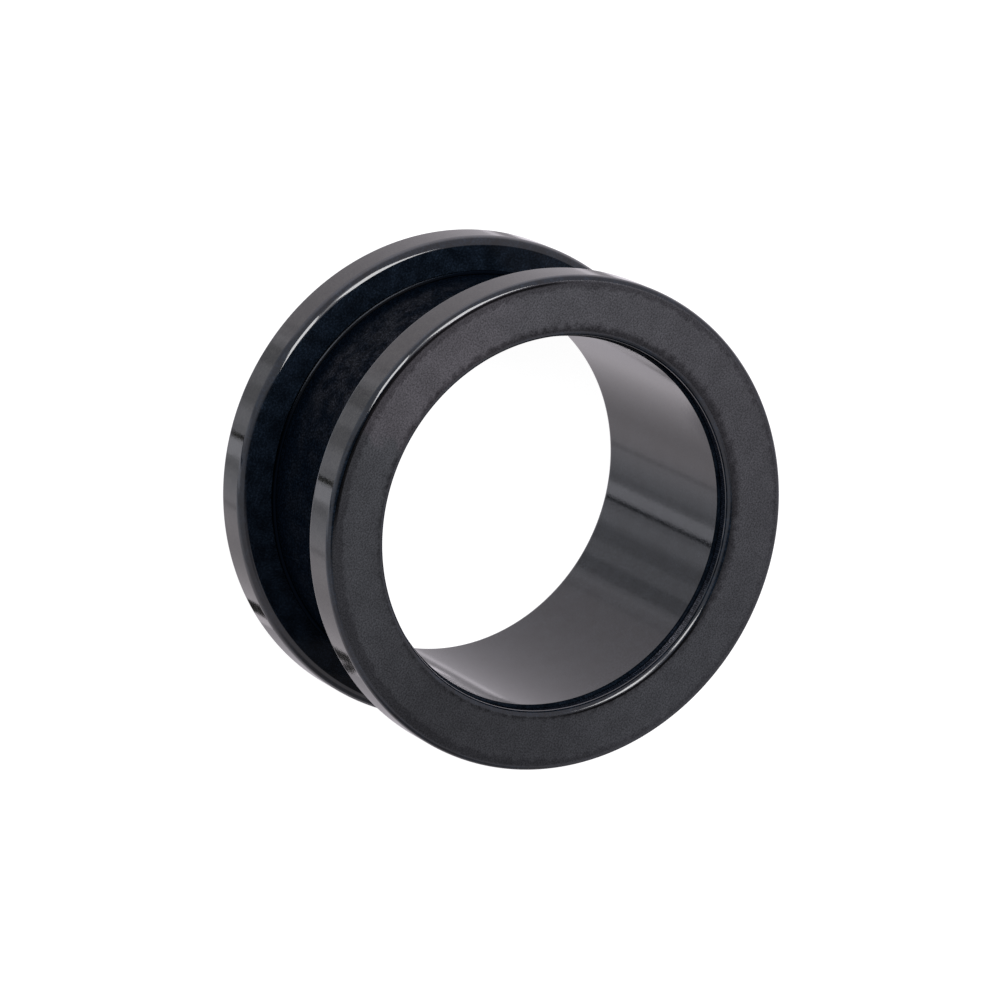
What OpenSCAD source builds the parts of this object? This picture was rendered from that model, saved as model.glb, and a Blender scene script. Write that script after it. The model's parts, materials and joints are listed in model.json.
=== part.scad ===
// Screw-fit ear tunnel: a tube with one fixed flange, closed by a flange ring that screws onto it.
// It lies on the fixed flange, with the screw ring on top. The origin is at the centre of the
// fixed flange's outer face, and +Z runs along the bore towards the ring. Sizes are in millimetres.

/* [Barrel] */
// Outer diameter of the barrel, which is the gauge of the tunnel
barrel_d = 20; // [16:1:30]
// Wall thickness of the barrel
wall = 1.2; // [1:0.1:2]
// Overall length, from the outer face of one flange to the outer face of the other
length = 12; // [10:0.5:16]

/* [Flanges] */
// Height of both flanges above the barrel
flange_h = 1.8; // [1:0.1:3]
// Thickness of both flanges
flange_t = 2.2; // [1.8:0.1:2.6]
// Rounding of the outer edges of both faces and of the screw ring's edge at the groove
edge_r = 0.28; // [0.1:0.01:0.5]
// Rounding of the fixed flange's edge at the groove
groove_edge_r = 0.42; // [0.2:0.01:0.6]
// Rounding of the bore's mouth in the fixed flange
mouth_r = 0.37; // [0.2:0.01:0.5]
// Rounding of the bore's mouth in the screw ring
lip_edge_r = 0.24; // [0.1:0.01:0.4]
// Fillet between the barrel and its own flange
root_r = 0.19; // [0.1:0.01:0.4]

/* [Screw joint] */
// Thickness of the lip of the ring that covers the end of the barrel
lip_t = 0.75; // [0.6:0.05:0.9]
// How much wider in radius the lip is than the bore behind it
lip_step = 0.15; // [0.05:0.01:0.3]
// Step down in radius from the barrel to its threaded spigot
spigot_step = 0.4; // [0.3:0.05:0.5]
// Radial clearance between the spigot and the ring, each drawn as a plain round where its thread is
thread_gap = 0.05; // [0.03:0.01:0.1]
// Gap at the seat of the ring, both at the barrel's shoulder and under the lip
seat_gap = 0.05; // [0.03:0.01:0.1]
// Chamfer that leads the spigot's thread into the ring's
lead_in = 0.15; // [0.05:0.01:0.2]
// Break of the sharp inner edge at the end of the spigot
edge_break = 0.05; // [0.02:0.01:0.1]

/* [Hidden] */
barrel_r = barrel_d / 2;
bore_r = barrel_r - wall;
flange_r = barrel_r + flange_h;
spigot_r = barrel_r - spigot_step;
lip_r = bore_r + lip_step;
ring_thread_r = spigot_r + thread_gap;
ring_back_z = length - flange_t;
shoulder_z = ring_back_z - seat_gap;
lip_back_z = length - lip_t;
spigot_end_z = lip_back_z - seat_gap;
// How far a cutting profile reaches past the surface it cuts
reach = 0.1;
$fn = 180;

// Rectangle between two corners of the turned profile, given as [radius, height]
module turned(low, high) {
    translate(low) square(high - low);
}

// Sliver between a corner and its rounding. The side is the diagonal direction from the corner
// to the centre of the rounding. Cut away it rounds an edge, and added it fills a root.
module corner(at, side, r) {
    difference() {
        translate(at + (r - reach) / 2 * side) square(r + reach, center = true);
        translate(at + r * side) circle(r);
    }
}

// Triangle that chamfers a corner, with the side as for a rounding
module chamfer(at, side, size) {
    outside = at - reach * side;
    polygon([
        outside,
        [at.x + (size + reach) * side.x, outside.y],
        [outside.x, at.y + (size + reach) * side.y]
    ]);
}

// Tube, fixed flange and spigot, turned from one piece
module flanged_barrel() {
    color([0.13, 0.13, 0.14])
    rotate_extrude()
    difference() {
        union() {
            turned([bore_r, 0], [flange_r, flange_t]);
            turned([bore_r, 0], [barrel_r, shoulder_z]);
            turned([bore_r, 0], [spigot_r, spigot_end_z]);
            corner([barrel_r, flange_t], [1, 1], root_r);
        }
        corner([bore_r, 0], [1, 1], mouth_r);
        corner([flange_r, 0], [-1, 1], edge_r);
        corner([flange_r, flange_t], [-1, -1], groove_edge_r);
        corner([bore_r, spigot_end_z], [1, -1], edge_break);
        chamfer([spigot_r, spigot_end_z], [-1, -1], lead_in);
    }
}

// Flange ring with its threaded counterbore behind the lip
module screw_ring() {
    color([0.27, 0.27, 0.28])
    rotate_extrude()
    difference() {
        turned([lip_r, ring_back_z], [flange_r, length]);
        turned([lip_r - reach, ring_back_z - reach], [ring_thread_r, lip_back_z]);
        corner([lip_r, length], [1, -1], lip_edge_r);
        corner([flange_r, length], [-1, -1], edge_r);
        corner([flange_r, ring_back_z], [-1, 1], edge_r);
        chamfer([ring_thread_r, ring_back_z], [1, 1], lead_in);
    }
}

flanged_barrel();
screw_ring();
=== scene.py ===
import json
from math import cos, hypot, pi, radians, sin

import bpy
from mathutils import Matrix, Quaternion, Vector


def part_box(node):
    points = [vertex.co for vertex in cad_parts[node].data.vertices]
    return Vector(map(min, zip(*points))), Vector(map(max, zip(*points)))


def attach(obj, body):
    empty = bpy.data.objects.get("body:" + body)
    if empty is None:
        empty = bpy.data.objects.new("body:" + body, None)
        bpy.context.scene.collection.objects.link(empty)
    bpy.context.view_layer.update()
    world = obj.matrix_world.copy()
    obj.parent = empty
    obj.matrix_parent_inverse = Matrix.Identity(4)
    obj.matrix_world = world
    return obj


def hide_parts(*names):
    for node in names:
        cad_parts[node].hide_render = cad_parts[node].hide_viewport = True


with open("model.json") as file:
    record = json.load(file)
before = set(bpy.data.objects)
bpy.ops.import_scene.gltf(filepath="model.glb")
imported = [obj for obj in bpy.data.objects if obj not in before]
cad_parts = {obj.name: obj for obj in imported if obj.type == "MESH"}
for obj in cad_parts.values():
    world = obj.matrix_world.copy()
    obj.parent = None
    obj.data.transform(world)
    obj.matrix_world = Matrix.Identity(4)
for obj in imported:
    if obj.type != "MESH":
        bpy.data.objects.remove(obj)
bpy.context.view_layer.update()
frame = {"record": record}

MM = 0.001

# Sizes that the frame gives
RING_LOW, RING_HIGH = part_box("screw_ring")
BARREL_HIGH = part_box("flanged_barrel")[1]
BORE_R = next(m for m in frame["record"]["mounts"] if m["name"] == "bore")["dims"]["r_mm"] * MM
FLANGE_R = BARREL_HIGH.x
FACE_Z = RING_HIGH.z
RING_BACK_Z = RING_LOW.z
SPIGOT_END_Z = BARREL_HIGH.z

# Sizes of the turned profile, as in the part's source
WALL = 1.2 * MM
FLANGE_T = FACE_Z - RING_BACK_Z
LIP_T = 0.75 * MM
LIP_STEP = 0.15 * MM
SPIGOT_STEP = 0.4 * MM
THREAD_GAP = 0.05 * MM
SEAT_GAP = 0.05 * MM
BARREL_R = BORE_R + WALL
SPIGOT_R = BARREL_R - SPIGOT_STEP
COUNTERBORE_R = SPIGOT_R + THREAD_GAP
LIP_R = BORE_R + LIP_STEP
LIP_BACK_Z = FACE_Z - LIP_T
SHOULDER_Z = RING_BACK_Z - SEAT_GAP

# Roundings and chamfers
EDGE_R = 0.28 * MM
GROOVE_EDGE_R = 0.42 * MM
MOUTH_R = 0.37 * MM
LIP_EDGE_R = 0.28 * MM
ROOT_R = 0.19 * MM
LEAD_IN = 0.15 * MM
EDGE_BREAK = 0.04 * MM

# Thread between the barrel and the ring, which only shows when the ring is off: its rows of points,
# its distance from the shoulder or the lip, and the length over which it fades out at both ends
THREAD_PITCH = 0.5 * MM
THREAD_DEPTH = 0.25 * MM
THREAD_ROWS = 34
THREAD_MARGIN = 0.1 * MM
THREAD_FADE = 0.2 * MM
# Start and end of the thread's flank, as shares of the pitch
THREAD_FLANK = (0.12, 0.38)

# Coarse turning marks on the wall inside the lip
LIP_GROOVES = 3
LIP_GROOVE_DEPTH = 0.05 * MM
POINTS_PER_GROOVE = 8

# How finely the turned pieces are meshed, and how far past a rounding its supporting points lie
STEPS_ROUND = 384
STEPS_PER_ROUNDING = 14
SUPPORT = 0.02 * MM

# Photograph's camera: pixel of the visible face's centre, distance to it, and the angles
PHOTO_SIZE = 1001
FACE_CENTRE_PX = (558.6, 525.3)
LENS = 219.53
SENSOR = 36.0
DISTANCE = 283.36 * MM
ELEVATION = radians(60.22)
ROLL = radians(116.29)
CLIP_NEAR, CLIP_FAR = 0.01, 10.0

# The finishes below share these terms. CLOUDS, GRAIN, SPECKS and HAZE are noise: grains a
# millimetre, detail, its low and high value, and the level or roughness for each of the two.
# RELIEF: grains a millimetre, detail and height. WANDER: grains a millimetre, detail and width.
# Stretches run clockwise from -X in degrees: middle, half width, softness and change.
GLOSS_IOR = 1.65
DULL_TINT = (0.3, 0.3, 0.3, 1)

# Polish of the roundings and of the groove's sides, and its haze at the lip's edge
GLOSS_BODY = (0.0041, 0.0068, 0.0113)
GLOSS_CLOUDS = (1.3, 4, 0.3, 0.7, 0.6, 1.4)
GLOSS_SPECKS = (10, 2, 0.4, 0.75, 0.75, 2.1)
GLOSS_HAZE = (0.9, 3, 0.3, 0.7, 0.05, 0.09)
LIP_EDGE_HAZE = (0.9, 3, 0.3, 0.7, 0.09, 0.13)
GLOSS_RELIEF = (11, 2, 0.0006 * MM)

# Filmed gloss of the rims and of the bore
FILM_GRAIN = (12, 2, 0.3, 0.7, 0.6, 4.6)
RIM_FILM = (0.0050, 0.0050, 0.0046)
RIM_CLOUDS = (2, 4, 0.3, 0.7, 0.75, 1.25)
RIM_HAZE = (0.9, 3, 0.3, 0.7, 0.04, 0.08)
RIM_SPECULAR = 0.47
RIM_RELIEF = (11, 2, 0.0010 * MM)
BORE_FILM = (0.0046, 0.0052, 0.0063)
BORE_CLOUDS = (1, 4, 0.3, 0.7, 0.75, 1.25)
BORE_HAZE = (1.6, 4, 0.3, 0.7, 0.05, 0.09)
BORE_SPECULAR = 0.335
BORE_RELIEF = (9, 3, 0.0018 * MM)

# Satin of both flat faces: cool and warm colour, clouds, grain and stretches of painted shade
COOL_COATING = (0.0830, 0.0873, 0.0945, 1)
# Warm stain, made lighter with painted light under the front light
WARM_STAIN_AND_LIGHT_COATING = (0.1110, 0.1080, 0.1180, 1)
SATIN_CLOUDS = (1.1, 5, 0.3, 0.7, 0.92, 1.08)
SATIN_GRAIN = (13, 2, 0.25, 0.75, 0.62, 1.38)
SATIN_ROUGHNESS = 0.52
SATIN_RELIEF = (14, 2, 0.0006 * MM)
SATIN_PAINTED_SHADES = (
    (172, 33, 14, -0.2),
    (215, 50, 25, -0.14),
)
SHADE_WANDER = (0.8, 4, 14)
# Warmer stretch of the satin, a stain made lighter with painted light: where it starts, where it fades,
# where it ends and what is left between
WARM_START = (267, 270)
WARM_FADE = (302, 328)
WARM_END = (30, 110)
WARM_LEFT = 0.42
# Inner and outer border of the satin, in millimetres: centre, a little off the bore's axis, radii
# between which it changes, roughness at the edge, and level of the darker inner one
INNER_CENTRE = (-0.13, 0.06, 0.0)
INNER_BORDER = (9.15, 9.58)
INNER_ROUGHNESS = 0.3
INNER_DARKER_LEVEL = 0.72
OUTER_CENTRE = (-0.05, 0.19, 0.0)
OUTER_BORDER = (11.1, 11.35)
OUTER_ROUGHNESS = 0.34
BORDER_WANDER = (3, 4, 0.8)
# Polished lines along the borders: radii over which each begins, in millimetres, and its stretch
INNER_LINE_RADII = (9.32, 9.26)
INNER_LINE = (122, 24, 10, 0.85)
OUTER_LINE_RADII = (11.38, 11.48)
OUTER_LINE = (289, 41, 7, 0.85)

# Dull wall inside the lip, with a stretch of painted highlight. Chatter marks: so many for each radian
# round and for each millimetre up, and the levels between a mark and the next
LIP_DARK = (0.0108, 0.0140, 0.0204, 1)
LIP_PAINTED_HIGHLIGHT = (0.0350, 0.0362, 0.0422, 1)
LIP_ROUGHNESS = 0.33
LIP_GRAIN = (9, 2, 0.35, 0.75, 0.6, 1.9)
PAINTED_LIP_HIGHLIGHT_STRETCH = (100, 12, 8, 1.0)
CHATTER_ROUND = 90.0
CHATTER_UP = 8.0
CHATTER_LEVELS = (0.1, 0.4, 0.4, 1.6)

# Dull barrel in the groove, with dust and painted light on the side under the lights, what is left of
# them elsewhere, and the heights in millimetres between which painted shade at the fixed flange gives way
GROOVE_BODY = (0.0013, 0.0026, 0.0050, 1)
GROOVE_DUST_AND_LIGHT = (0.0098, 0.0108, 0.0138, 1)
GROOVE_ROUGHNESS = 0.5
GROOVE_CLOUDS = (1.3, 5, 0.35, 0.68, 0.25, 1.35)
GROOVE_SPECKS = (11, 2, 0.4, 0.75, 0.65, 2.8)
GROOVE_RELIEF = (8, 3, 0.003 * MM)
PAINTED_LIGHT_SIDE = (293, 22, 20, 0.85)
DUST_AND_LIGHT_ELSEWHERE = 0.15
FLANGE_SHADE_HEIGHTS = (2.7, 3.9)

# Fillet at the root of the fixed flange, with a stretch of painted highlight
ROOT_DARK = (0.0025, 0.0045, 0.0080, 1)
ROOT_PAINTED_HIGHLIGHT = (0.0100, 0.0110, 0.0128, 1)
ROOT_ROUGHNESS = 0.22
ROOT_RELIEF = (7, 3, 0.004 * MM)
PAINTED_ROOT_HIGHLIGHT_STRETCH = (294, 25, 10, 1.0)

# Light tent that the gloss mirrors: levels above and below the horizon, sines of the elevations
# between which they change, tints, and the sides with a tint of their own
TENT_LEVEL = 0.57
TENT_LEVEL_BELOW = 0.685
HORIZON = (0.1, -0.4)
TENT_TINT = (1.0, 0.945, 1.02, 1)
WARM_TINT = (1.0, 0.94, 1.0, 1)
COOL_TINT = (0.945, 0.950, 1.040, 1)
WARM_SIDE = (10, 40, 20, 1.0)
COOL_SIDE = (288, 42, 16, 1.0)
BACKDROP_LEVEL = 1.0
# Upright panels of the lower tent: azimuth, half width, softness of the edges and change of level
TENT_PANELS = (
    (42, 26, 24, 0.3),
    (290, 38, 12, -0.06),
    (335, 14, 8, 0.15),
    (333.5, 1.3, 0.8, -0.22),
    (314, 2.0, 1.0, -0.1),
    (305.6, 3.9, 0.5, 0.46),
    (299.5, 1.1, 0.35, -0.62),
    (290, 4, 1, 0.12),
    (278, 5, 2, -0.16),
    (257.5, 5, 1, -0.21),
    (248, 1.3, 0.6, 0.1),
    (241, 1.6, 0.8, -0.08),
    (126, 2.2, 0.8, 0.3),
    (117.5, 4, 1.5, -0.3),
    (107, 6, 2, 0.3),
)
# Bright belt of the tent just below the horizon, in the same terms, and the sines of the elevations
# between which its top and its foot fade
TENT_BELT = (185, 55, 25, 0.48)
BELT_TOP = (0.1, -0.3)
BELT_FOOT = (-0.86, -0.6)
# Dark openings of the tent: azimuth, elevation, radius and share of the light left
TENT_OPENINGS = (
    (90, 63, 8, 0.12),
    (80, 76, 9, 0.15),
    (40, 86, 12, 0.15),
    (300, 80, 14, 0.15),
    (298, 68, 13, 0.15),
    (292, 56, 11, 0.25),
    (290, 38, 12, 0.65),
    (335, 68, 16, 0.55),
    (28, 12, 24, 0.4),
    (70, -28, 28, 0.3),
)
# Where an opening's shade starts and where it is full, as shares of its radius
OPENING_EDGE = (1.4, 0.7)

# Lights: name, azimuth and elevation from the target, roll, distance, size and radiance
LIGHT_TARGET = (-4.5 * MM, -10.5 * MM, 12 * MM)
SOFT_LIGHTS = (
    ("front_light", 247, 56, 0, 0.095, (0.024, 0.051), 9),
    ("side_light", 188, 63.6, -30, 0.130, (0.080, 0.032), 9),
    ("fill_light", 221, 56, 0, 0.110, (0.022, 0.060), 1.6),
)
# Small cards that the rims mirror: corners across and up in millimetres, and glow
CARD_PLACE = (27.9 * MM, 2.45 * MM, -28.7 * MM)
CARD_FACING = (-0.4465, -0.2176, 0.868)
CARD_SPACING = 0.2 * MM
CARDS = (
    ("grey_card", ((4, -6.2), (24, -6.2), (24, 3.2), (4, 3.2)), 0.57),
    ("dark_card", ((-0.85, -4.6), (1.85, -4.6), (1.8, 2.8), (-1.4, 2.2)), 0.03),
    ("dark_arm", ((1.2, 1.75), (4.85, 1.25), (4.85, 2.1), (1.2, 2.85)), 0.03),
)
FLOOR_SIZE = 4.0
FLOOR_GLOW = 0.95
FLOOR_SHADE = 0.3
WHITE = (1, 1, 1, 1)


def aim_camera():
    """Puts the camera where the photograph was taken from, turned about its view as the photograph is."""
    data = bpy.data.cameras.new("camera")
    data.lens = LENS
    data.sensor_width = SENSOR
    data.clip_start = CLIP_NEAR
    data.clip_end = CLIP_FAR
    camera = bpy.data.objects.new("camera", data)
    bpy.context.scene.collection.objects.link(camera)
    turn = Matrix.Rotation(pi / 2 - ELEVATION, 3, "X") @ Matrix.Rotation(ROLL, 3, "Z")
    per_pixel = SENSOR / LENS / PHOTO_SIZE * DISTANCE
    seen = Vector((
        (FACE_CENTRE_PX[0] - PHOTO_SIZE / 2) * per_pixel,
        (PHOTO_SIZE / 2 - FACE_CENTRE_PX[1]) * per_pixel,
        -DISTANCE,
    ))
    place = Vector((0, 0, FACE_Z)) - turn @ seen
    camera.matrix_world = Matrix.Translation(place) @ turn.to_4x4()
    bpy.context.scene.camera = camera


def thread_rows(radius, low, high, depth):
    """Points of a threaded stretch from low to high, whose depth fades out towards both ends."""
    rows = []
    for i in range(THREAD_ROWS + 1):
        z = low + (high - low) * i / THREAD_ROWS
        fade = min(1.0, abs(z - low) / THREAD_FADE, abs(high - z) / THREAD_FADE)
        rows.append((radius, z, 0.0, depth * fade))
    return rows


def lip_rows(low, high):
    """Points of the wall inside the lip from low to high, with its turned grooves."""
    rows = []
    count = LIP_GROOVES * POINTS_PER_GROOVE
    for i in range(count + 1):
        dip = LIP_GROOVE_DEPTH * sin(pi * i / POINTS_PER_GROOVE) ** 2
        rows.append((LIP_R + dip, low + (high - low) * i / count, 0.0, 0.0))
    return rows


def barrel_outline():
    """Half section of the barrel, flange and spigot: radius, height, rounding and thread depth."""
    thread = thread_rows(SPIGOT_R, SHOULDER_Z + THREAD_MARGIN, SPIGOT_END_Z - LEAD_IN, -THREAD_DEPTH)
    return [
        (BORE_R, 0, MOUTH_R, 0),
        (FLANGE_R, 0, EDGE_R, 0),
        (FLANGE_R, FLANGE_T, GROOVE_EDGE_R, 0),
        (BARREL_R, FLANGE_T, ROOT_R, 0),
        (BARREL_R, SHOULDER_Z, EDGE_BREAK, 0),
        (SPIGOT_R, SHOULDER_Z, EDGE_BREAK, 0),
        *thread,
        (SPIGOT_R - LEAD_IN, SPIGOT_END_Z, EDGE_BREAK, 0),
        (BORE_R, SPIGOT_END_Z, EDGE_BREAK, 0),
    ]


def ring_outline():
    """Half section of the screw ring: radius, height, rounding and thread depth."""
    thread = thread_rows(COUNTERBORE_R, RING_BACK_Z + LEAD_IN, LIP_BACK_Z - THREAD_MARGIN, THREAD_DEPTH)
    lip = lip_rows(LIP_BACK_Z + 2 * EDGE_BREAK, FACE_Z - LIP_EDGE_R - SUPPORT)
    return [
        (LIP_R, FACE_Z, LIP_EDGE_R, 0),
        *reversed(lip),
        (LIP_R, LIP_BACK_Z, EDGE_BREAK, 0),
        (COUNTERBORE_R, LIP_BACK_Z, EDGE_BREAK, 0),
        *reversed(thread),
        (COUNTERBORE_R + LEAD_IN, RING_BACK_Z, EDGE_BREAK, 0),
        (FLANGE_R, RING_BACK_Z, EDGE_R, 0),
        (FLANGE_R, FACE_Z, EDGE_R, 0),
    ]


def with_supports(outline):
    """Adds a point just past the rounding at each end of a long straight, so its shading stays flat."""
    rows = []
    for here, after in zip(outline, outline[1:] + outline[:1]):
        rows.append(here)
        run = hypot(after[0] - here[0], after[1] - here[1])
        ends = (here[2] + SUPPORT, after[2] + SUPPORT)
        if run < sum(ends) + SUPPORT:
            continue
        for part in (ends[0] / run, 1 - ends[1] / run):
            radius = here[0] + (after[0] - here[0]) * part
            height = here[1] + (after[1] - here[1]) * part
            rows.append((radius, height, 0.0, 0.0))
    return rows


def outline_mesh(name, outline):
    """Closed line through the outline's points, with its rounding and thread depth as attributes."""
    rows = with_supports(outline)
    mesh = bpy.data.meshes.new(name)
    loop = [(i, (i + 1) % len(rows)) for i in range(len(rows))]
    mesh.from_pydata([(radius, height, 0) for radius, height, _, _ in rows], loop, [])
    for label, column in (("rounding", 2), ("thread", 3)):
        values = mesh.attributes.new(label, "FLOAT", "POINT")
        values.data.foreach_set("value", [row[column] for row in rows])
    return mesh


class Nodes:
    """Short way to add nodes to a tree and join them."""

    def __init__(self, tree):
        self.tree = tree

    def add(self, kind, *inputs, out=0, **settings):
        """Adds a node, sets its properties, fills its inputs in order and returns one of its outputs."""
        node = self.tree.nodes.new(kind)
        for key, value in settings.items():
            setattr(node, key, value)
        shown = [s for s in node.inputs if s.enabled]
        for socket, value in zip(shown, inputs):
            self.fill(socket, value)
        return [s for s in node.outputs if s.enabled][out]

    def fill(self, socket, value):
        """Joins an input to an output or gives it a plain value. None leaves it as it is."""
        if value is None:
            return
        if isinstance(value, bpy.types.NodeSocket):
            self.tree.links.new(value, socket)
        else:
            socket.default_value = value

    def math(self, operation, *inputs):
        return self.add("ShaderNodeMath", *inputs, operation=operation)

    def vector(self, operation, *inputs):
        return self.add("ShaderNodeVectorMath", *inputs, operation=operation)


def height_of(make, place):
    """Height of a place."""
    return make.add("ShaderNodeSeparateXYZ", place).node.outputs["Z"]


def angle_of(make, place):
    """Angle of a place round the upright axis, in radians from +X towards +Y."""
    apart = make.add("ShaderNodeSeparateXYZ", place).node.outputs
    return make.math("ARCTAN2", apart["Y"], apart["X"])


def lathe_tree():
    """Geometry nodes that round an outline's corners, turn it round the bore's axis and cut its thread."""
    tree = bpy.data.node_groups.new("turned_on_the_lathe", "GeometryNodeTree")
    face = tree.interface
    face.new_socket("Outline", in_out="INPUT", socket_type="NodeSocketGeometry")
    for name, kind in (
        ("Steps round", "NodeSocketInt"),
        ("Steps per rounding", "NodeSocketInt"),
        ("Turning radius", "NodeSocketFloat"),
        ("Thread pitch", "NodeSocketFloat"),
        ("Finish", "NodeSocketMaterial"),
    ):
        face.new_socket(name, in_out="INPUT", socket_type=kind)
    face.new_socket("Turned piece", in_out="OUTPUT", socket_type="NodeSocketGeometry")
    make = Nodes(tree)
    given = tree.nodes.new("NodeGroupInput").outputs
    rounding = make.add("GeometryNodeInputNamedAttribute", "rounding", data_type="FLOAT")
    line = make.add("GeometryNodeMeshToCurve", given["Outline"])
    rounded = make.add(
        "GeometryNodeFilletCurve", line, given["Steps per rounding"], rounding, mode="POLY"
    )
    inwards = make.math("MULTIPLY", given["Turning radius"], -1.0)
    shift = make.add("ShaderNodeCombineXYZ", inwards)
    placed = make.add("GeometryNodeTransform", rounded, shift, (pi, 0, 0))
    circle = make.add("GeometryNodeCurvePrimitiveCircle", given["Steps round"], mode="RADIUS")
    tree.links.new(given["Turning radius"], circle.node.inputs["Radius"])
    upright = make.add("GeometryNodeSetCurveNormal", circle, mode="Z_UP")
    turned = make.add("GeometryNodeFlipFaces", make.add("GeometryNodeCurveToMesh", upright, placed))
    threaded = make.add("GeometryNodeSetPosition", turned, None, None, thread_offset(make, given))
    smooth = make.add("GeometryNodeSetShadeSmooth", threaded)
    real = make.add("GeometryNodeRealizeInstances", smooth)
    finished = make.add("GeometryNodeSetMaterial", real, None, given["Finish"])
    result = tree.nodes.new("NodeGroupOutput")
    tree.links.new(finished, result.inputs["Turned piece"])
    return tree


def thread_offset(make, given):
    """Radial dip of a right-hand thread, which climbs one pitch in each turn."""
    place = make.add("GeometryNodeInputPosition")
    turns = make.math("DIVIDE", angle_of(make, place), 2 * pi)
    climb = make.math("DIVIDE", height_of(make, place), given["Thread pitch"])
    phase = make.math("PINGPONG", make.math("SUBTRACT", climb, turns), 0.5)
    flank = between(make, phase, *THREAD_FLANK)
    depth = make.add("GeometryNodeInputNamedAttribute", "thread", data_type="FLOAT")
    outwards = make.vector("NORMALIZE", make.vector("MULTIPLY", place, (1, 1, 0)))
    return make.vector("SCALE", outwards, make.math("MULTIPLY", flank, depth))


def turn_piece(name, outline, tree, finish):
    """Turns an outline into a plain mesh object, with the tree as a modifier that is baked and dropped."""
    blank = bpy.data.objects.new(name + "_outline", outline_mesh(name, outline))
    bpy.context.scene.collection.objects.link(blank)
    modifier = blank.modifiers.new("lathe", "NODES")
    modifier.node_group = tree
    sizes = {
        "Steps round": STEPS_ROUND,
        "Steps per rounding": STEPS_PER_ROUNDING,
        "Turning radius": BORE_R,
        "Thread pitch": THREAD_PITCH,
        "Finish": finish,
    }
    for socket in tree.interface.items_tree:
        if socket.item_type == "SOCKET" and socket.name in sizes:
            modifier[socket.identifier] = sizes[socket.name]
    seen = bpy.context.evaluated_depsgraph_get()
    mesh = bpy.data.meshes.new_from_object(blank.evaluated_get(seen), depsgraph=seen)
    mesh.name = name
    piece = bpy.data.objects.new(name, mesh)
    bpy.context.scene.collection.objects.link(piece)
    bpy.data.objects.remove(blank)
    return piece


def new_material(name, values):
    """Material with values on its shader's sockets. Returns it, its node helper and its shader node."""
    material = bpy.data.materials.new(name)
    material.use_nodes = True
    shader = material.node_tree.nodes["Principled BSDF"]
    for socket, value in values.items():
        shader.inputs[socket].default_value = value
    return material, Nodes(material.node_tree), shader


def millimetres(make):
    """Object coordinates in millimetres."""
    return make.vector("SCALE", make.add("ShaderNodeTexCoord", out=3), 1 / MM)


def reach_from(make, place, centre):
    """Distance of a place from an upright line through a centre."""
    aside = make.vector("SUBTRACT", place, centre)
    return make.vector("LENGTH", make.vector("MULTIPLY", aside, (1, 1, 0)))


def turn_of(make, place):
    """Angle of a place round the bore's axis, in degrees clockwise from -X, from 0 to 360."""
    degrees = make.math("DEGREES", angle_of(make, place))
    return make.math("WRAP", make.math("SUBTRACT", 180.0, degrees), 360.0, 0.0)


def noise(make, place, scale, detail):
    """Value between about 0 and 1 that varies with the place, at so many grains a millimetre."""
    node = make.add("ShaderNodeTexNoise", place).node
    node.inputs["Scale"].default_value = scale
    node.inputs["Detail"].default_value = detail
    return node.outputs["Fac"]


def between(make, value, low, high, low_out=0.0, high_out=1.0):
    """Smooth step of a value from one level to another."""
    return make.add(
        "ShaderNodeMapRange", value, low, high, low_out, high_out, interpolation_type="SMOOTHSTEP"
    )


def varied(make, place, scale, detail, *levels):
    """Level that varies with the place, as noise does between a low and a high value of it."""
    return between(make, noise(make, place, scale, detail), *levels)


def wander(make, place, scale, detail, width):
    """Shift to either side that varies with the place, within a width."""
    return make.math("MULTIPLY_ADD", noise(make, place, scale, detail), width, -width / 2)


def panel(make, azimuth, centre, half_width, softness, change):
    """Change of level within a span of angles in degrees, with soft edges."""
    turn = make.math("WRAP", make.math("SUBTRACT", azimuth, centre), 180.0, -180.0)
    return between(
        make, make.math("ABSOLUTE", turn), half_width + softness, half_width - softness, 0.0, change
    )


def product(make, first, *others):
    """Product of several levels."""
    for other in others:
        first = make.math("MULTIPLY", first, other)
    return first


def scaled(make, colour, *levels):
    """Colour made lighter or darker by several levels."""
    return make.vector("SCALE", colour, product(make, *levels))


def blend(make, share, first, second):
    """Colour that goes from the first to the second with the share."""
    return make.add("ShaderNodeMix", share, first, second, data_type="RGBA")


def relief(make, shader, place, scale, detail, height):
    """Gives the surface a fine relief of so many grains a millimetre and a height in metres."""
    node = make.add("ShaderNodeBump").node
    node.inputs["Strength"].default_value = 1.0
    node.inputs["Distance"].default_value = height
    make.fill(node.inputs["Height"], noise(make, place, scale, detail))
    make.fill(shader.inputs["Normal"], node.outputs["Normal"])


def polished_finish(name, haze):
    """Glossy black of the roundings and groove sides, with faint specks and haze."""
    material, make, shader = new_material(name, {"IOR": GLOSS_IOR})
    place = millimetres(make)
    levels = varied(make, place, *GLOSS_CLOUDS), varied(make, place, *GLOSS_SPECKS)
    make.fill(shader.inputs["Base Color"], scaled(make, GLOSS_BODY, *levels))
    make.fill(shader.inputs["Roughness"], varied(make, place, *haze))
    relief(make, shader, place, *GLOSS_RELIEF)
    return material


def filmed_finish(name, film, clouds, haze, specular, grain_relief):
    """Glossy black of the rims and the bore, under a thin pale film with soft clouds and fine grain."""
    values = {"IOR": GLOSS_IOR, "Specular IOR Level": specular}
    material, make, shader = new_material(name, values)
    place = millimetres(make)
    levels = varied(make, place, *clouds), varied(make, place, *FILM_GRAIN)
    make.fill(shader.inputs["Base Color"], scaled(make, film, *levels))
    make.fill(shader.inputs["Roughness"], varied(make, place, *haze))
    relief(make, shader, place, *grain_relief)
    return material


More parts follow.
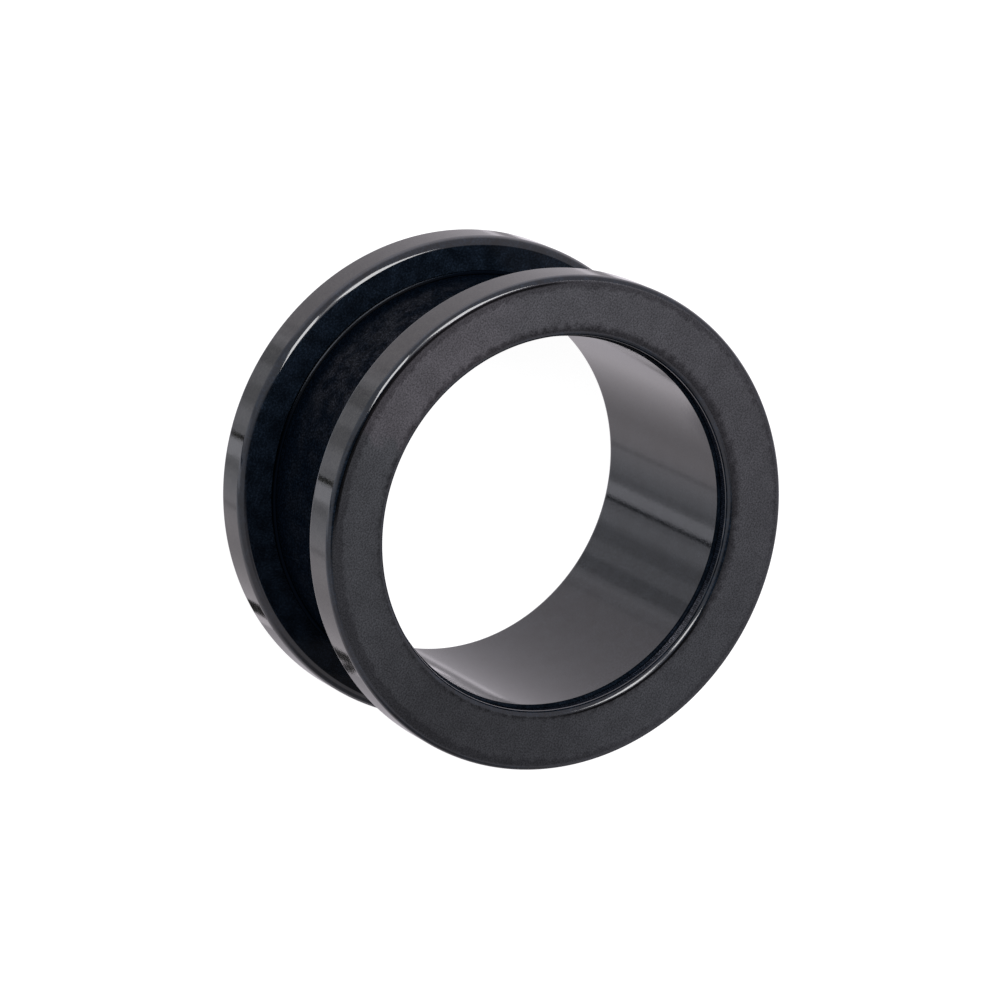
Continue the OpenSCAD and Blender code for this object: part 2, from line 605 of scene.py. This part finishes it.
def satin_finish():
    """Satin of the flat faces: clouded and finely grained, darker towards the bore, with stretches of
    painted shade and a warm stain made lighter with painted light.
    """
    values = {"IOR": GLOSS_IOR, "Metallic": 1.0}
    material, make, shader = new_material("satin_black_steel", values)
    place = millimetres(make)
    stray = wander(make, place, *BORDER_WANDER)
    from_inner = make.math("ADD", reach_from(make, place, INNER_CENTRE), stray)
    from_outer = make.math("ADD", reach_from(make, place, OUTER_CENTRE), stray)
    make.fill(shader.inputs["Roughness"], satin_roughness(make, place, from_inner, from_outer))
    darker_inside = between(make, from_inner, *INNER_BORDER, INNER_DARKER_LEVEL, 1.0)
    levels = [varied(make, place, *SATIN_CLOUDS), varied(make, place, *SATIN_GRAIN), darker_inside]
    turn = make.math("ADD", turn_of(make, place), wander(make, place, *SHADE_WANDER))
    turn = make.math("WRAP", turn, 360.0, 0.0)
    # Painted shade on the side of the faces away from the lights
    for shade in SATIN_PAINTED_SHADES:
        levels.append(make.math("ADD", panel(make, turn, *shade), 1.0))
    make.fill(shader.inputs["Base Color"], scaled(make, satin_tone(make, turn), *levels))
    relief(make, shader, place, *SATIN_RELIEF)
    return material


def satin_roughness(make, place, from_inner, from_outer):
    """Roughness of the satin: lower towards both borders, and lowest on a polished line along each."""
    inner = between(make, from_inner, *INNER_BORDER, INNER_ROUGHNESS, SATIN_ROUGHNESS)
    outer = between(make, from_outer, *OUTER_BORDER, SATIN_ROUGHNESS, OUTER_ROUGHNESS)
    radius = reach_from(make, place, (0, 0, 0))
    turn = turn_of(make, place)
    inner_line = product(make, between(make, radius, *INNER_LINE_RADII), panel(make, turn, *INNER_LINE))
    outer_line = product(make, between(make, radius, *OUTER_LINE_RADII), panel(make, turn, *OUTER_LINE))
    kept = make.math("SUBTRACT", 1.0, make.math("MAXIMUM", outer_line, inner_line))
    return product(make, make.math("MINIMUM", inner, outer), kept)


def satin_tone(make, turn):
    """Colour of the satin by its angle: warm from a clear stain edge on and lighter there with painted
    light, then slowly cooler.
    """
    starts = between(make, turn, *WARM_START)
    fades = between(make, turn, *WARM_FADE, 1.0, WARM_LEFT)
    ends = between(make, turn, *WARM_END, WARM_LEFT, 0.0)
    warm = make.math("MAXIMUM", product(make, starts, fades), ends)
    return blend(make, warm, COOL_COATING, WARM_STAIN_AND_LIGHT_COATING)


def lip_finish():
    """Dull, coarsely turned wall inside the lip, with fine chatter marks and a stretch of painted
    highlight.
    """
    values = {"IOR": GLOSS_IOR, "Metallic": 1.0, "Roughness": LIP_ROUGHNESS, "Specular Tint": DULL_TINT}
    material, make, shader = new_material("turned_lip_steel", values)
    place = millimetres(make)
    slant = make.math(
        "ADD",
        make.math("MULTIPLY", angle_of(make, place), CHATTER_ROUND),
        make.math("MULTIPLY", height_of(make, place), CHATTER_UP),
    )
    chatter = between(make, make.math("PINGPONG", slant, 0.5), *CHATTER_LEVELS)
    # Painted highlight of the front light on one stretch of the wall
    side = panel(make, turn_of(make, place), *PAINTED_LIP_HIGHLIGHT_STRETCH)
    tone = blend(make, side, LIP_DARK, LIP_PAINTED_HIGHLIGHT)
    colour = scaled(make, tone, chatter, varied(make, place, *LIP_GRAIN))
    make.fill(shader.inputs["Base Color"], colour)
    return material


def groove_finish():
    """Dull barrel in the groove, clouded and with fine light specks, with dust and painted light under the
    lights and painted shade at the fixed flange.
    """
    values = {"IOR": GLOSS_IOR, "Roughness": GROOVE_ROUGHNESS, "Specular IOR Level": 0.0}
    material, make, shader = new_material("groove_black_steel", values)
    place = millimetres(make)
    clouds = varied(make, place, *GROOVE_CLOUDS)
    # Painted shade near the fixed flange, where the dust and painted light give way
    away = between(make, height_of(make, place), *FLANGE_SHADE_HEIGHTS)
    # Painted light on the side under the lights
    side = make.math("ADD", panel(make, turn_of(make, place), *PAINTED_LIGHT_SIDE), DUST_AND_LIGHT_ELSEWHERE)
    tone = blend(make, product(make, clouds, away, side), GROOVE_BODY, GROOVE_DUST_AND_LIGHT)
    make.fill(shader.inputs["Base Color"], scaled(make, tone, varied(make, place, *GROOVE_SPECKS)))
    relief(make, shader, place, *GROOVE_RELIEF)
    return material


def root_finish():
    """Half dull fillet between the barrel and its flange, with a painted highlight on one side."""
    values = {"IOR": GLOSS_IOR, "Metallic": 1.0, "Roughness": ROOT_ROUGHNESS, "Specular Tint": DULL_TINT}
    material, make, shader = new_material("root_black_steel", values)
    place = millimetres(make)
    # Painted highlight on one stretch of the fillet
    side = panel(make, turn_of(make, place), *PAINTED_ROOT_HIGHLIGHT_STRETCH)
    make.fill(shader.inputs["Base Color"], blend(make, side, ROOT_DARK, ROOT_PAINTED_HIGHLIGHT))
    relief(make, shader, place, *ROOT_RELIEF)
    return material


def finish_zone(piece, material, radii, heights):
    """Gives the faces whose middle lies between two radii and two heights a finish of their own."""
    mesh = piece.data
    if material.name not in mesh.materials:
        mesh.materials.append(material)
    slot = mesh.materials.find(material.name)
    for face in mesh.polygons:
        radius = hypot(face.center.x, face.center.y)
        if radii[0] <= radius <= radii[1] and heights[0] <= face.center.z <= heights[1]:
            face.material_index = slot


def turned_barrel(tree, polish, rim, satin):
    """Barrel with its flange and spigot, polished where it has no other finish. Its bore ends dull."""
    barrel = turn_piece("black_flanged_barrel", barrel_outline(), tree, polish)
    dull = groove_finish()
    bore = filmed_finish("bore_black_steel", BORE_FILM, BORE_CLOUDS, BORE_HAZE, BORE_SPECULAR, BORE_RELIEF)
    bore_end = SPIGOT_END_Z - EDGE_BREAK
    for finish, radii, heights in (
        (rim, (FLANGE_R - SUPPORT, FLANGE_R), (EDGE_R, FLANGE_T - GROOVE_EDGE_R)),
        (satin, (0, FLANGE_R), (-SUPPORT, SUPPORT)),
        (dull, (SPIGOT_R, BARREL_R + SUPPORT / 2), (FLANGE_T, SHOULDER_Z)),
        (dull, (BORE_R, BORE_R + EDGE_BREAK), (bore_end, SPIGOT_END_Z)),
        (root_finish(), (BARREL_R + SUPPORT / 4, BARREL_R + ROOT_R), (FLANGE_T, FLANGE_T + ROOT_R)),
        (bore, (0, BORE_R + SUPPORT), (MOUTH_R, bore_end)),
    ):
        finish_zone(barrel, finish, radii, heights)
    return barrel


def turned_ring(tree, polish, rim, satin):
    """Screw ring, polished where it has no other finish, with a hazier polish on the lip's edge."""
    ring = turn_piece("black_screw_ring", ring_outline(), tree, polish)
    lip_edge = polished_finish("lip_edge_black_steel", LIP_EDGE_HAZE)
    lip_low = FACE_Z - LIP_EDGE_R
    for finish, radii, heights in (
        (rim, (FLANGE_R - SUPPORT, FLANGE_R), (RING_BACK_Z + EDGE_R, FACE_Z - EDGE_R)),
        (lip_edge, (LIP_R, LIP_R + LIP_EDGE_R), (lip_low, FACE_Z)),
        (satin, (0, FLANGE_R), (FACE_Z - SUPPORT / 2, FACE_Z + SUPPORT)),
        (lip_finish(), (LIP_R - SUPPORT, COUNTERBORE_R), (LIP_BACK_Z, lip_low)),
    ):
        finish_zone(ring, finish, radii, heights)
    return ring


def direction(azimuth, elevation):
    """Unit vector towards a compass direction in degrees, counted from +X towards +Y, and an elevation."""
    a, e = radians(azimuth), radians(elevation)
    return Vector((cos(a) * cos(e), sin(a) * cos(e), sin(e)))


def soft_light(name, azimuth, elevation, roll, distance, size, radiance):
    """Rectangular studio light in a direction from the target, which it faces, turned by a roll."""
    data = bpy.data.lights.new(name, "AREA")
    data.shape = "RECTANGLE"
    data.size, data.size_y = size
    data.energy = radiance * pi * size[0] * size[1]
    light = bpy.data.objects.new(name, data)
    bpy.context.scene.collection.objects.link(light)
    towards = direction(azimuth, elevation)
    light.location = Vector(LIGHT_TARGET) + towards * distance
    light.rotation_mode = "QUATERNION"
    light.rotation_quaternion = towards.to_track_quat("Z", "Y") @ Quaternion((0, 0, 1), radians(roll))
    light.visible_camera = False


def flat_piece(name, corners, material):
    """Flat piece of the studio, of one material."""
    mesh = bpy.data.meshes.new(name)
    mesh.from_pydata(corners, [], [tuple(range(len(corners)))])
    mesh.materials.append(material)
    piece = bpy.data.objects.new(name, mesh)
    bpy.context.scene.collection.objects.link(piece)
    return piece


def even_glow(name, shade, tint, glow):
    """Dull grey material that glows evenly."""
    return new_material(name, {
        "Base Color": (shade, shade, shade, 1),
        "Roughness": 1.0,
        "Specular IOR Level": 0.0,
        "Emission Color": tint,
        "Emission Strength": glow,
    })[0]


def reflector_card(name, corners, glow, layer):
    """Small flat card of even glow below the rims, drawn a little nearer to them for each layer."""
    facing = Vector(CARD_FACING).normalized()
    across = facing.cross(Vector((0, 0, 1))).normalized()
    up = across.cross(facing)
    place = Vector(CARD_PLACE) + facing * CARD_SPACING * layer
    points = [place + (across * x + up * y) * MM for x, y in corners]
    card = flat_piece(name, points, even_glow(name, 0.0, TENT_TINT, glow))


def light_tent():
    """World that the polish mirrors: a pale tent with panels and a bright belt below the horizon, dark
    openings, and a warm and a cool side. The camera sees a plain backdrop in its place."""
    world = bpy.data.worlds.new("light_tent")
    world.use_nodes = True
    bpy.context.scene.world = world
    tree = world.node_tree
    tree.nodes.clear()
    make = Nodes(tree)
    towards = make.add("ShaderNodeTexCoord")
    height = height_of(make, towards)
    azimuth = make.math("DEGREES", angle_of(make, towards))
    level = TENT_LEVEL_BELOW
    for part in TENT_PANELS:
        level = make.math("ADD", level, panel(make, azimuth, *part))
    below = between(make, height, *HORIZON)
    level = make.add("ShaderNodeMix", below, TENT_LEVEL, level, data_type="FLOAT")
    belt = product(make, between(make, height, *BELT_TOP), between(make, height, *BELT_FOOT))
    level = make.math("MULTIPLY_ADD", belt, panel(make, azimuth, *TENT_BELT), level)
    for opening_azimuth, elevation, radius, left in TENT_OPENINGS:
        middle = tuple(direction(opening_azimuth, elevation))
        near = make.vector("DOT_PRODUCT", towards, middle)
        starts, full = (cos(radians(share * radius)) for share in OPENING_EDGE)
        level = product(make, level, between(make, near, starts, full, 1.0, left))
    tint = blend(make, panel(make, azimuth, *WARM_SIDE), TENT_TINT, WARM_TINT)
    tint = blend(make, panel(make, azimuth, *COOL_SIDE), tint, COOL_TINT)
    mirrored = make.add("ShaderNodeBackground", scaled(make, tint, level), 1.0)
    plain = make.add("ShaderNodeBackground", WHITE, BACKDROP_LEVEL)
    seen = make.add("ShaderNodeLightPath")
    both = make.add("ShaderNodeMixShader", seen, mirrored, plain)
    output = tree.nodes.new("ShaderNodeOutputWorld")
    tree.links.new(both, output.inputs["Surface"])


def pale_floor():
    """Plain pale floor, evenly lit from below as on a light table. The polish doesn't mirror it."""
    half = FLOOR_SIZE / 2
    corners = [(-half, -half, 0), (half, -half, 0), (half, half, 0), (-half, half, 0)]
    floor = flat_piece("floor", corners, even_glow("pale_floor", FLOOR_SHADE, WHITE, FLOOR_GLOW))
    floor.visible_glossy = False


bpy.context.scene.view_settings.view_transform = "Standard"
aim_camera()
light_tent()
pale_floor()
for light in SOFT_LIGHTS:
    soft_light(*light)
for layer, card in enumerate(CARDS):
    reflector_card(*card, layer)

tree = lathe_tree()
polish = polished_finish("polished_black_steel", GLOSS_HAZE)
rim = filmed_finish("rim_black_steel", RIM_FILM, RIM_CLOUDS, RIM_HAZE, RIM_SPECULAR, RIM_RELIEF)
satin = satin_finish()
barrel = turned_barrel(tree, polish, rim, satin)
ring = turned_ring(tree, polish, rim, satin)
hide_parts("flanged_barrel")
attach(barrel, "barrel")
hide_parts("screw_ring")
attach(ring, "ring")
